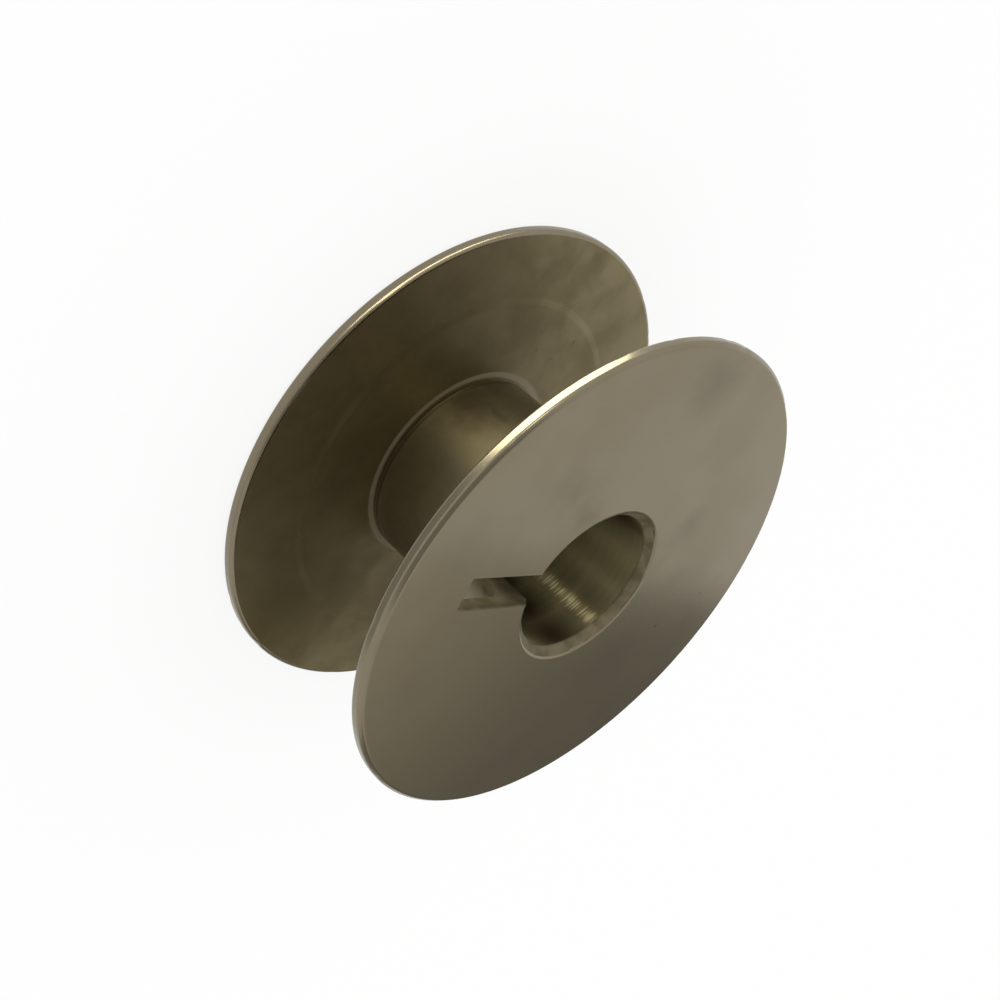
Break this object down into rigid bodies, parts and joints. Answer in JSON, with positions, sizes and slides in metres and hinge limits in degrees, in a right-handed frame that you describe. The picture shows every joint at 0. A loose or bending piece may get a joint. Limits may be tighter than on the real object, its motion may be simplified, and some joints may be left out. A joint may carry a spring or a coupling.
{
  "type": "sewing machine bobbin",
  "caption": "Metal sewing machine bobbin: two thin flat flanges on a hollow core with a chamfered through bore, and a radial thread slot in one flange.",
  "frame": {"origin": "centre of the plain flange's outer face, on the bore axis", "axes": "+Z along the bore axis from the plain flange to the slotted flange, +X along the thread slot"},
  "size_m": [0.021, 0.021, 0.0086],
  "materials": {
    "nickel_plated_steel": "satin nickel plate over fine turning marks"
  },
  "bodies": {
    "root": {"bobbin": "nickel_plated_steel"}
  },
  "joints": []
}
